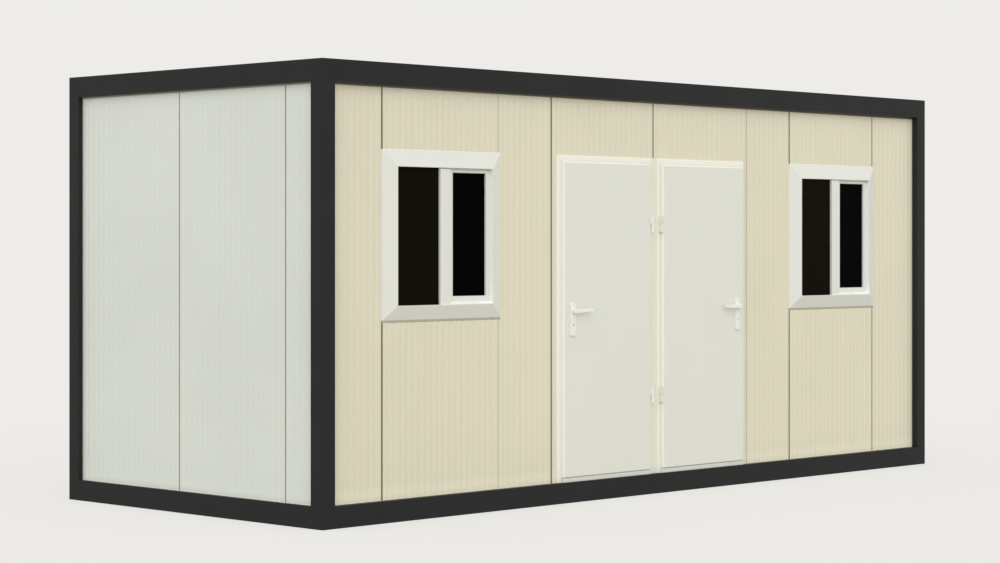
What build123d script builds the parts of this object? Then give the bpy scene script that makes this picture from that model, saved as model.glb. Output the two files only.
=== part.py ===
from build123d import *
import os

# Portable site cabin: a steel frame closed with insulated panels, with two doors side by side
# and two sliding windows in its long front wall.
# The origin is the middle of the footprint on the ground, +X runs along the front wall,
# -Y points out of the front wall and +Z is up. All sizes are in millimetres.
# A depth is measured inwards from the outer face of the frame at the front.

# ---------------------------------------------------------------- driving sizes

# Steel frame
length = 6058.0
width = 2438.0
height = 2717.0
frame_depth = 100.0
beam_height = 130.0
post_edge_radius = 4.0

# Floor and roof
deck_thickness = 20.0
joist_width = 50.0
joist_spacing = 700.0
roof_thickness = 80.0
roof_rib_height = 30.0
roof_rib_base = 70.0
roof_rib_slope = 60.0
roof_rib_spacing = 330.0

# Insulated wall panels and the tongue and groove between them
panel_thickness = 50.0
long_wall_recess = 50.0
end_wall_recess = 35.0
panel_pitch = 990.0
half_panel_pitch = 486.0
joint_width = 4.0
wide_joint_width = 8.0
narrow_joint_width = 2.5
fine_joint_width = 1.0
joint_depth = 8.0
tongue_width = 16.0
tongue_reach = 12.0
joint_clearance = 0.3

# Doors
door_line = -45.0
door_offset = 487.0
door_frame_width = 926.0
door_frame_height = 2082.0
door_frame_bar = 50.0
door_frame_face = 34.0
door_frame_edge_radius = 14.0
door_sill_height = 24.0
door_stop_width = 12.0
leaf_side_margin = 34.0
leaf_top_margin = 40.0
leaf_face = 13.0
leaf_lip_thickness = 15.0
leaf_thickness = 40.0
leaf_edge_radius = 11.0
leaf_clearance = 6.0
leaf_body_gap = 7.0

# Door hinges
hinge_heights = [651.0, 1778.0]
hinge_length = 105.0
hinge_gap = 1.0
hinge_barrel_radius = 7.0
hinge_axis_offset = 12.0
hinge_axis_proud = 5.0
hinge_pin_radius = 4.0
hinge_pin_clearance = 0.3
hinge_pin_reach = 38.0
hinge_flag_width = 24.0
hinge_flag_thickness = 3.0

# Door handles
handle_inset = 80.0
handle_plate_width = 44.0
handle_plate_length = 208.0
handle_plate_thickness = 14.0
handle_plate_corner = 10.0
handle_plate_edge = 2.5
handle_plate_centre = 1164.0
lever_height = 1220.0
lever_length = 162.0
lever_root = 34.0
lever_tip = 25.0
lever_thickness = 14.0
lever_reach = 43.0
lever_edge = 3.0
spindle_radius = 8.0
spindle_clearance = 0.4
spindle_leaf_clearance = 3.0
keyhole_height = 1130.0
keyhole_radius = 5.0
keyhole_slot_width = 5.0
keyhole_slot_length = 14.0
keyhole_depth = 4.0

# Windows
window_offset = 502.0
window_trim_width = 1004.0
window_trim_height = 1014.0
window_trim_centre = 1700.0
window_trim_proud = 38.0
window_trim_edge = 3.0
window_trim_lip = 4.0
window_opening_width = 810.0
window_opening_height = 827.0
window_opening_centre = 1693.0
window_frame_bar = 26.0
stop_jamb = 8.0
stop_head = 12.0
stop_sill = 16.5
head_setback = 8.0
jamb_setback = 1.5
mullion_start = 357.0
mullion_width = 88.0
mullion_face = 16.0
mullion_head_gap = 7.0
sill_slope_face = 13.0
sill_slope_edge = 1.5
fixed_glass_face = 32.0
glass_thickness = 4.0
sash_start = 403.0
sash_glass_gap = 2.0
sash_running_gap = 0.5
sash_thickness = 34.0
sash_left_stile = 84.0
sash_right_stile = 26.0
sash_bottom_rail = 32.5
sash_top_rail = 15.0
sash_bead = 4.0
sash_glass_setback = 16.0

# ---------------------------------------------------------------- worked-out sizes

front_y = -width / 2
wall_bottom = beam_height
wall_top = height - beam_height
wall_height = wall_top - wall_bottom
inner_length = length - 2 * frame_depth
inner_width = width - 2 * frame_depth
wall_back = long_wall_recess + panel_thickness

left_door_line = door_line - panel_pitch
left_half_line = left_door_line - half_panel_pitch
left_edge_line = left_half_line - panel_pitch
right_door_line = door_line + panel_pitch
right_half_line = right_door_line + half_panel_pitch
right_edge_line = right_half_line + panel_pitch

door_frame_top = wall_bottom + door_frame_height
door_sill_top = wall_bottom + door_sill_height
door_clear_width = door_frame_width - 2 * door_frame_bar
door_clear_top = door_frame_top - door_frame_bar
leaf_width = door_frame_width - 2 * leaf_side_margin
leaf_bottom = door_sill_top + leaf_clearance
leaf_top = door_frame_top - leaf_top_margin
leaf_back = leaf_face + leaf_thickness
hinge_axis_y = front_y + leaf_face - hinge_axis_proud

window_hole_width = window_opening_width + 2 * window_frame_bar
window_hole_height = window_opening_height + 2 * window_frame_bar
window_opening_bottom = window_opening_centre - window_opening_height / 2
window_opening_top = window_opening_centre + window_opening_height / 2
fixed_glass_back = fixed_glass_face + glass_thickness
sash_face = fixed_glass_back + sash_glass_gap

front_wall_plan = Plane(origin=(0, front_y + long_wall_recess, wall_bottom), x_dir=(1, 0, 0), z_dir=(0, 0, 1))
back_wall_plan = Plane(origin=(0, -front_y - long_wall_recess, wall_bottom), x_dir=(-1, 0, 0), z_dir=(0, 0, 1))
left_wall_plan = Plane(origin=(end_wall_recess - length / 2, 0, wall_bottom), x_dir=(0, -1, 0), z_dir=(0, 0, 1))
right_wall_plan = Plane(origin=(length / 2 - end_wall_recess, 0, wall_bottom), x_dir=(0, 1, 0), z_dir=(0, 0, 1))

os.makedirs("parts", exist_ok=True)


def save(piece, name):
    """Label a finished piece and write it as its own file."""
    piece.label = name
    export_step(piece, f"parts/{name}.step")


def front_plane(depth):
    """The upright plane this far behind the front of the frame, facing out of the front wall."""
    return Plane.XZ.offset(-front_y - depth)


def middle(low, high):
    """The value halfway between two others."""
    return (low + high) / 2


# ---------------------------------------------------------------- steel frame

for post_name, x_side, y_side in [
    ("post_front_left", -1, -1),
    ("post_front_right", 1, -1),
    ("post_back_left", -1, 1),
    ("post_back_right", 1, 1),
]:
    with BuildPart() as post:
        with BuildSketch(Plane.XY):
            with Locations((x_side * (length - frame_depth) / 2, y_side * (width - frame_depth) / 2)):
                Rectangle(frame_depth, frame_depth)
        extrude(amount=height)
        upright_edges = post.edges().filter_by(Axis.Z)
        outer_edge = upright_edges.sort_by(lambda edge: x_side * edge.center().X + y_side * edge.center().Y)[-1]
        fillet(outer_edge, radius=post_edge_radius)
    save(post.part, post_name)

for level_name, beam_bottom in [("bottom", 0.0), ("top", wall_top)]:
    for side_name, side in [("front", -1), ("back", 1)]:
        with BuildPart() as long_beam:
            with BuildSketch(Plane.XY.offset(beam_bottom)):
                with Locations((0, side * (width - frame_depth) / 2)):
                    Rectangle(inner_length, frame_depth)
            extrude(amount=beam_height)
        save(long_beam.part, f"{level_name}_beam_{side_name}")
    for side_name, side in [("left", -1), ("right", 1)]:
        with BuildPart() as end_beam:
            with BuildSketch(Plane.XY.offset(beam_bottom)):
                with Locations((side * (length - frame_depth) / 2, 0)):
                    Rectangle(frame_depth, inner_width)
            extrude(amount=beam_height)
        save(end_beam.part, f"{level_name}_beam_{side_name}")

# ---------------------------------------------------------------- floor and roof

with BuildPart() as floor_deck:
    with BuildSketch(Plane.XY.offset(wall_bottom - deck_thickness)):
        Rectangle(inner_length, inner_width)
    extrude(amount=deck_thickness)
save(floor_deck.part, "floor_deck")

# The joists stand on the ground with the beams, one of them across the middle of the cabin.
joist_count = 2 * int((inner_length / 2 - joist_width) // joist_spacing) + 1
with BuildPart() as floor_joists:
    with BuildSketch(Plane.XY):
        with GridLocations(joist_spacing, inner_width, joist_count, 1):
            Rectangle(joist_width, inner_width)
    extrude(amount=wall_bottom - deck_thickness)
save(floor_joists.part, "floor_joists")

# The roof lies inside the top beams, with its ribs below their top edge.
roof_rib_count = int(inner_length // roof_rib_spacing)
with BuildPart() as roof_panel:
    with BuildSketch(Plane.XZ.offset(inner_width / 2)):
        with Locations((0, wall_top)):
            Rectangle(inner_length, roof_thickness, align=(Align.CENTER, Align.MIN))
        with Locations((0, wall_top + roof_thickness)):
            with GridLocations(roof_rib_spacing, roof_rib_height, roof_rib_count, 1):
                Trapezoid(roof_rib_base, roof_rib_height, roof_rib_slope, align=(Align.CENTER, Align.MIN))
    extrude(amount=-inner_width)
save(roof_panel.part, "roof_panel")

# ---------------------------------------------------------------- wall panels


def start_side(start, joint):
    """Outline of a panel's start side, from its inner to its outer face, grooved where it is joined."""
    if not joint:
        return [(start, panel_thickness), (start, 0)]
    seat = start + joint_clearance / 2
    groove_end = seat + tongue_reach + joint_clearance
    groove_low = (panel_thickness - tongue_width) / 2 - joint_clearance
    groove_high = (panel_thickness + tongue_width) / 2 + joint_clearance
    return [
        (seat, panel_thickness),
        (seat, groove_high),
        (groove_end, groove_high),
        (groove_end, groove_low),
        (seat, groove_low),
        (seat, joint_depth),
        (start + joint / 2, joint_depth),
        (start + joint / 2, 0),
    ]


def end_side(end, joint):
    """Outline of a panel's end side, from its outer to its inner face, tongued where it is joined."""
    if not joint:
        return [(end, 0), (end, panel_thickness)]
    seat = end - joint_clearance / 2
    tongue_end = end + tongue_reach
    tongue_low = (panel_thickness - tongue_width) / 2
    tongue_high = (panel_thickness + tongue_width) / 2
    return [
        (end - joint / 2, 0),
        (end - joint / 2, joint_depth),
        (seat, joint_depth),
        (seat, tongue_low),
        (tongue_end, tongue_low),
        (tongue_end, tongue_high),
        (seat, tongue_high),
        (seat, panel_thickness),
    ]


def wall_panel(plan, start, end, start_joint, end_joint, panel_height):
    """A panel standing on a wall's plan plane, with the visible width of the joint at each side."""
    with BuildPart() as panel:
        with BuildSketch(plan):
            with BuildLine():
                Polyline(*start_side(start, start_joint), *end_side(end, end_joint), close=True)
            make_face()
        extrude(amount=panel_height)
    return panel.part


def wall_of_panels(plan, lines):
    """A whole wall of panels with the ordinary joint at every line but the first and the last."""
    joints = [0.0] + [joint_width] * (len(lines) - 2) + [0.0]
    with BuildPart() as wall:
        for start, end, start_joint, end_joint in zip(lines, lines[1:], joints, joints[1:]):
            add(wall_panel(plan, start, end, start_joint, end_joint, wall_height))
    return wall.part


# Plain panels of the front wall, from left to right
for panel_name, start, end, start_joint, end_joint in [
    ("front_edge_panel_left", -inner_length / 2, left_edge_line, 0.0, wide_joint_width),
    ("front_half_panel_left", left_half_line, left_door_line, fine_joint_width, joint_width),
    ("front_half_panel_right", right_door_line, right_half_line, narrow_joint_width, joint_width),
    ("front_edge_panel_right", right_edge_line, inner_length / 2, joint_width, 0.0),
]:
    save(wall_panel(front_wall_plan, start, end, start_joint, end_joint, wall_height), panel_name)

# Panels with a window hole
for panel_name, start, start_joint, end_joint in [
    ("front_window_panel_left", left_edge_line, wide_joint_width, fine_joint_width),
    ("front_window_panel_right", right_half_line, joint_width, joint_width),
]:
    with BuildPart() as window_panel:
        add(wall_panel(front_wall_plan, start, start + panel_pitch, start_joint, end_joint, wall_height))
        with BuildSketch(front_plane(long_wall_recess)):
            with Locations((start + window_offset, window_opening_centre)):
                Rectangle(window_hole_width, window_hole_height)
        extrude(amount=-panel_thickness, mode=Mode.SUBTRACT)
    save(window_panel.part, panel_name)

# Short panels over the doors
head_plan = front_wall_plan.offset(door_frame_top - wall_bottom)
head_height = wall_top - door_frame_top
for panel_name, start, end, end_joint in [
    ("front_door_head_left", left_door_line, door_line, joint_width),
    ("front_door_head_right", door_line, right_door_line, narrow_joint_width),
]:
    save(wall_panel(head_plan, start, end, joint_width, end_joint, head_height), panel_name)

# Strips of panel left beside and between the door frames
left_frame_outer = door_line - door_offset - door_frame_width / 2
left_frame_inner = door_line - door_offset + door_frame_width / 2
right_frame_inner = door_line + door_offset - door_frame_width / 2
right_frame_outer = door_line + door_offset + door_frame_width / 2
with BuildPart() as front_door_strips:
    add(wall_panel(front_wall_plan, left_door_line, left_frame_outer, joint_width, 0.0, door_frame_height))
    add(wall_panel(front_wall_plan, left_frame_inner, right_frame_inner, 0.0, 0.0, door_frame_height))
    add(wall_panel(front_wall_plan, right_frame_outer, right_door_line, 0.0, narrow_joint_width, door_frame_height))
    with BuildSketch(front_wall_plan):
        with Locations((door_line, joint_depth / 2)):
            Rectangle(joint_width, joint_depth)
    extrude(amount=door_frame_height, mode=Mode.SUBTRACT)
save(front_door_strips.part, "front_door_strips")

# The back wall has whole panels about its middle and a cut one at each end.
back_panel_count = int(inner_length // panel_pitch)
back_lines = [(index - back_panel_count / 2) * panel_pitch for index in range(back_panel_count + 1)]
save(wall_of_panels(back_wall_plan, [-inner_length / 2, *back_lines, inner_length / 2]), "back_wall")

# Each end wall has whole panels from its back corner and a cut one at its front corner.
end_panel_count = int(inner_width // panel_pitch)
end_lines = [index * panel_pitch - inner_width / 2 for index in range(end_panel_count + 1)] + [inner_width / 2]
save(wall_of_panels(left_wall_plan, end_lines), "left_end_wall")
save(wall_of_panels(right_wall_plan, [-line for line in reversed(end_lines)]), "right_end_wall")

# ---------------------------------------------------------------- doors


def handle_plate(handle_x, back_depth, outward):
    """One long handle plate on the face of a leaf; outward is 1 on the outer face and -1 on the inner."""
    with BuildPart() as plate:
        with BuildSketch(front_plane(back_depth)):
            with Locations((handle_x, handle_plate_centre)):
                RectangleRounded(handle_plate_width, handle_plate_length, handle_plate_corner)
        extrude(amount=outward * handle_plate_thickness)
        front_face = plate.faces().sort_by(Axis.Y)[0 if outward > 0 else -1]
        chamfer(front_face.edges(), length=handle_plate_edge)
        with BuildSketch(front_plane(back_depth)):
            with Locations((handle_x, lever_height)):
                Circle(spindle_radius + spindle_clearance)
        extrude(amount=outward * handle_plate_thickness, mode=Mode.SUBTRACT)
        with BuildSketch(front_plane(back_depth - outward * (handle_plate_thickness - keyhole_depth))):
            with Locations((handle_x, keyhole_height)):
                Circle(keyhole_radius)
                Rectangle(keyhole_slot_width, keyhole_slot_length, align=(Align.CENTER, Align.MAX))
        extrude(amount=outward * keyhole_depth, mode=Mode.SUBTRACT)
    return plate.part


def lever_blade(handle_x, blade_side, near_depth, outward):
    """The flat grip of one lever, tapered from its root at the spindle to its tip."""
    with BuildPart() as blade:
        with BuildSketch(front_plane(near_depth)):
            with BuildLine():
                Polyline(
                    (handle_x - blade_side * lever_root / 2, lever_height - lever_root / 2),
                    (handle_x + blade_side * lever_length, lever_height + lever_root / 2 - lever_tip),
                    (handle_x + blade_side * lever_length, lever_height + lever_root / 2),
                    (handle_x - blade_side * lever_root / 2, lever_height + lever_root / 2),
                    close=True,
                )
            make_face()
        extrude(amount=outward * lever_thickness)
        fillet(blade.edges(), radius=lever_edge)
    return blade.part


for side_name, side in [("left", -1), ("right", 1)]:
    centre_x = door_line + side * door_offset
    hinge_side = -side
    leaf_hinge_edge = centre_x + hinge_side * leaf_width / 2
    axis_x = leaf_hinge_edge + hinge_side * hinge_axis_offset
    handle_x = centre_x - hinge_side * (leaf_width / 2 - handle_inset)

    # Frame: two jambs, a head and a sill, with a stop behind the leaf
    with BuildPart() as door_frame:
        with BuildSketch(front_plane(wall_back)):
            with Locations((centre_x, middle(wall_bottom, door_frame_top))):
                Rectangle(door_frame_width, door_frame_height)
            with Locations((centre_x, door_sill_top)):
                Rectangle(
                    door_clear_width,
                    door_clear_top - door_sill_top,
                    align=(Align.CENTER, Align.MIN),
                    mode=Mode.SUBTRACT,
                )
        extrude(amount=wall_back - door_frame_face)
        face_edges = door_frame.faces().sort_by(Axis.Y)[0].outer_wire().edges()
        fillet(face_edges.sort_by(Axis.Z)[1:], radius=door_frame_edge_radius)
        with BuildSketch(front_plane(wall_back)):
            with Locations((centre_x, door_sill_top)):
                Rectangle(door_clear_width, door_clear_top - door_sill_top, align=(Align.CENTER, Align.MIN))
                Rectangle(
                    door_clear_width - 2 * door_stop_width,
                    door_clear_top - door_sill_top - door_stop_width,
                    align=(Align.CENTER, Align.MIN),
                    mode=Mode.SUBTRACT,
                )
        extrude(amount=wall_back - leaf_back - leaf_clearance)
    save(door_frame.part, f"door_frame_{side_name}")

    # Leaf: a face with a lip over the frame, a body inside the frame, and the upper hinge halves
    with BuildPart() as door_leaf:
        with BuildSketch(front_plane(leaf_face + leaf_lip_thickness)):
            with Locations((centre_x, leaf_bottom)):
                Rectangle(leaf_width, leaf_top - leaf_bottom, align=(Align.CENTER, Align.MIN))
        extrude(amount=leaf_lip_thickness)
        fillet(door_leaf.faces().sort_by(Axis.Y)[0].edges(), radius=leaf_edge_radius)
        with BuildSketch(front_plane(leaf_back)):
            with Locations((centre_x, leaf_bottom)):
                Rectangle(
                    door_clear_width - 2 * leaf_body_gap,
                    door_clear_top - leaf_body_gap - leaf_bottom,
                    align=(Align.CENTER, Align.MIN),
                )
        extrude(amount=leaf_thickness - leaf_lip_thickness)
        with BuildSketch(front_plane(leaf_back)):
            with Locations((handle_x, lever_height)):
                Circle(spindle_radius + spindle_leaf_clearance)
        extrude(amount=leaf_thickness, mode=Mode.SUBTRACT)
        for hinge_height in hinge_heights:
            knuckle_bottom = hinge_height + hinge_gap / 2
            flag_span = hinge_axis_offset + hinge_flag_width
            with BuildSketch(Plane.XY.offset(knuckle_bottom)):
                with Locations((axis_x, hinge_axis_y)):
                    Circle(hinge_barrel_radius)
                with Locations((axis_x - hinge_side * flag_span / 2, front_y + leaf_face)):
                    Rectangle(flag_span, hinge_flag_thickness, align=(Align.CENTER, Align.MAX))
            extrude(amount=(hinge_length - hinge_gap) / 2)
            with BuildSketch(Plane.XY.offset(knuckle_bottom)):
                with Locations((axis_x, hinge_axis_y)):
                    Circle(hinge_pin_radius + hinge_pin_clearance)
            extrude(amount=hinge_pin_reach + hinge_pin_clearance, mode=Mode.SUBTRACT)
    save(door_leaf.part, f"door_leaf_{side_name}")

    # Lower hinge halves, welded to the frame, each with the pin that the leaf is hung on
    with BuildPart() as door_hinge_pins:
        for hinge_height in hinge_heights:
            barrel_bottom = hinge_height - hinge_length / 2
            with BuildSketch(Plane.XY.offset(barrel_bottom)):
                with Locations((axis_x, hinge_axis_y)):
                    Circle(hinge_barrel_radius)
                with Locations((axis_x + hinge_side * hinge_barrel_radius / 2, hinge_axis_y)):
                    Rectangle(
                        hinge_barrel_radius,
                        front_y + door_frame_face - hinge_axis_y,
                        align=(Align.CENTER, Align.MIN),
                    )
            extrude(amount=(hinge_length - hinge_gap) / 2)
            with BuildSketch(Plane.XY.offset(barrel_bottom)):
                with Locations((axis_x, hinge_axis_y)):
                    Circle(hinge_pin_radius)
            extrude(amount=middle(hinge_length, hinge_gap) + hinge_pin_reach)
    save(door_hinge_pins.part, f"door_hinge_pins_{side_name}")

    # Handle plates on both faces of the leaf
    with BuildPart() as door_handle_plates:
        add(handle_plate(handle_x, leaf_face, 1))
        add(handle_plate(handle_x, leaf_back, -1))
    save(door_handle_plates.part, f"door_handle_plates_{side_name}")

    # Lever: an outer and an inner grip on one spindle
    outer_grip_depth = leaf_face - lever_reach + lever_thickness
    inner_grip_depth = leaf_back + lever_reach - lever_thickness
    with BuildPart() as door_lever:
        add(lever_blade(handle_x, hinge_side, outer_grip_depth, 1))
        add(lever_blade(handle_x, hinge_side, inner_grip_depth, -1))
        with BuildSketch(front_plane(inner_grip_depth + lever_thickness / 2)):
            with Locations((handle_x, lever_height)):
                Circle(spindle_radius)
        extrude(amount=inner_grip_depth - outer_grip_depth + lever_thickness)
    save(door_lever.part, f"door_lever_{side_name}")

# ---------------------------------------------------------------- windows

for side_name, panel_start in [("left", left_edge_line), ("right", right_half_line)]:
    window_x = panel_start + window_offset
    opening_left = window_x - window_opening_width / 2
    opening_right = window_x + window_opening_width / 2
    mullion_left = opening_left + mullion_start
    mullion_right = mullion_left + mullion_width
    stop_left = opening_left + stop_jamb
    stop_right = opening_right - stop_jamb
    stop_bottom = window_opening_bottom + stop_sill
    stop_top = window_opening_top - stop_head

    # Sloping trim on the face of the wall, mitred at its corners
    with BuildPart() as window_trim:
        trim_plane = front_plane(long_wall_recess)
        with BuildSketch(trim_plane):
            with Locations((window_x, window_trim_centre)):
                Rectangle(window_trim_width, window_trim_height)
        extrude(amount=window_trim_edge)
        with BuildSketch(trim_plane.offset(window_trim_edge)):
            with Locations((window_x, window_trim_centre)):
                Rectangle(window_trim_width, window_trim_height)
        with BuildSketch(trim_plane.offset(window_trim_proud)):
            with Locations((window_x, window_opening_centre)):
                Rectangle(
                    window_opening_width + 2 * window_trim_lip,
                    window_opening_height + 2 * window_trim_lip,
                )
        loft()
        with BuildSketch(trim_plane):
            with Locations((window_x, window_opening_centre)):
                Rectangle(window_opening_width, window_opening_height)
        extrude(amount=window_trim_proud, mode=Mode.SUBTRACT)
    save(window_trim.part, f"window_trim_{side_name}")

    # Frame: a lining through the wall, stops all round in it, a mullion in front and a sloping sill
    with BuildPart() as window_frame:
        with BuildSketch(front_plane(wall_back)):
            with Locations((window_x, window_opening_centre)):
                Rectangle(window_hole_width, window_hole_height)
                Rectangle(window_opening_width, window_opening_height, mode=Mode.SUBTRACT)
        extrude(amount=panel_thickness)
        with BuildSketch(front_plane(wall_back)):
            with Locations((window_x, window_opening_centre)):
                Rectangle(window_opening_width, window_opening_height)
            with Locations((middle(stop_left, stop_right), middle(stop_bottom, stop_top))):
                Rectangle(stop_right - stop_left, stop_top - stop_bottom, mode=Mode.SUBTRACT)
        extrude(amount=wall_back - fixed_glass_back)
        with BuildSketch(front_plane(fixed_glass_back)):
            with Locations((mullion_right, stop_top)):
                Rectangle(opening_right - mullion_right, stop_head, align=(Align.MIN, Align.MIN))
        extrude(amount=fixed_glass_back - sash_face - head_setback, mode=Mode.SUBTRACT)
        with BuildSketch(front_plane(fixed_glass_back)):
            with Locations((opening_right, stop_bottom)):
                Rectangle(stop_jamb, stop_top - stop_bottom, align=(Align.MAX, Align.MIN))
        extrude(amount=fixed_glass_back - sash_face - jamb_setback, mode=Mode.SUBTRACT)
        with BuildSketch(front_plane(fixed_glass_back)):
            with Locations((mullion_left, window_opening_bottom)):
                Rectangle(
                    mullion_width,
                    window_opening_height - mullion_head_gap,
                    align=(Align.MIN, Align.MIN),
                )
        extrude(amount=fixed_glass_back - mullion_face)
        with BuildSketch(Plane.YZ.offset(mullion_left)):
            with BuildLine():
                Polyline(
                    (front_y + fixed_glass_back, window_opening_bottom),
                    (front_y + sill_slope_face, window_opening_bottom),
                    (front_y + sill_slope_face, window_opening_bottom + sill_slope_edge),
                    (front_y + fixed_glass_back, stop_bottom),
                    close=True,
                )
            make_face()
        extrude(amount=opening_right - mullion_left)
    save(window_frame.part, f"window_frame_{side_name}")

    # Pane fixed in the left half of the frame
    with BuildPart() as window_glass:
        with BuildSketch(front_plane(fixed_glass_back)):
            with Locations((opening_left, window_opening_centre)):
                Rectangle(mullion_start, window_opening_height, align=(Align.MIN, Align.CENTER))
        extrude(amount=glass_thickness)
    save(window_glass.part, f"window_glass_{side_name}")

    # Sliding sash, closed over the right half
    sash_left = opening_left + sash_start
    sash_right = stop_right - sash_running_gap
    sash_bottom = stop_bottom + sash_running_gap
    sash_top = stop_top - sash_running_gap
    sash_glass_left = sash_left + sash_left_stile
    sash_glass_right = sash_right - sash_right_stile
    sash_glass_bottom = sash_bottom + sash_bottom_rail
    sash_glass_top = sash_top - sash_top_rail
    sash_glass_middle = (middle(sash_glass_left, sash_glass_right), middle(sash_glass_bottom, sash_glass_top))
    with BuildPart() as window_sash:
        with BuildSketch(front_plane(sash_face + sash_thickness)):
            with Locations((middle(sash_left, sash_right), middle(sash_bottom, sash_top))):
                Rectangle(sash_right - sash_left, sash_top - sash_bottom)
            with Locations(sash_glass_middle):
                Rectangle(
                    sash_glass_right - sash_glass_left,
                    sash_glass_top - sash_glass_bottom,
                    mode=Mode.SUBTRACT,
                )
        extrude(amount=sash_thickness)
        chamfer(window_sash.faces().sort_by(Axis.Y)[0].inner_wires()[0].edges(), length=sash_bead)
    save(window_sash.part, f"window_sash_{side_name}")

    # Pane in the sash
    with BuildPart() as sash_glass:
        with BuildSketch(front_plane(sash_face + sash_glass_setback + glass_thickness)):
            with Locations(sash_glass_middle):
                Rectangle(sash_glass_right - sash_glass_left, sash_glass_top - sash_glass_bottom)
        extrude(amount=glass_thickness)
    save(sash_glass.part, f"sash_glass_{side_name}")
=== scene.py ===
import logging
import math
from dataclasses import dataclass, field
from enum import Enum

import bmesh
import bpy
from mathutils import Matrix, Vector


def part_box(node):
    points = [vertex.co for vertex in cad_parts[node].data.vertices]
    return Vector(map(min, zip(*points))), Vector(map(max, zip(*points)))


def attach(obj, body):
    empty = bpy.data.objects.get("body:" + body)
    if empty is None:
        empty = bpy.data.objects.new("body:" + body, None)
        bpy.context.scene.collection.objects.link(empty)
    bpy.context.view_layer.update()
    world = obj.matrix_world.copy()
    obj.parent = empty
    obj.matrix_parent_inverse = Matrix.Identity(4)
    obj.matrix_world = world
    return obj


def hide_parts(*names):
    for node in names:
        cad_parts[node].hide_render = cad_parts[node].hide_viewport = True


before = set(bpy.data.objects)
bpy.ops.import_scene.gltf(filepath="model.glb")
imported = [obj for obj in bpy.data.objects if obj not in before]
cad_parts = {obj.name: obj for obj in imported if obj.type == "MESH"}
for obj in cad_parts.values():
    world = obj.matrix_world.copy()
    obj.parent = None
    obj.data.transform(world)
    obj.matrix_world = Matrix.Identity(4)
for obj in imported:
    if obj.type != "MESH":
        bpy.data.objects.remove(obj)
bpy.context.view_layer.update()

log = logging.getLogger("cabin")
Color = tuple[float, float, float]
Point = tuple[float, float, float] | Vector
Socket = bpy.types.NodeSocket
Mesh = bmesh.types.BMesh

# Noise values crowd round 0.5, so only their middle is spread over a range.
NOISE_LOW, NOISE_HIGH = 0.3, 0.7
# Corners closer than this are one corner.
WELD = 1e-6


# ---------------------------------------------------------------- colour and node helpers


def linear(red: float, green: float, blue: float) -> Color:
    """Turn a screen colour into scene-linear values.

    Args:
        red, green, blue: the colour as shown on a screen, from 0 to 255.

    Returns:
        The same colour as three linear values from 0 to 1.
    """
    shares = (red / 255, green / 255, blue / 255)
    return tuple(s / 12.92 if s <= 0.04045 else ((s + 0.055) / 1.055) ** 2.4 for s in shares)


def scaled(color: Color, factor: float) -> tuple[float, float, float, float]:
    """Return a colour made lighter or darker by a factor, with full alpha."""
    return (*(min(1.0, channel * factor) for channel in color), 1.0)


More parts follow.
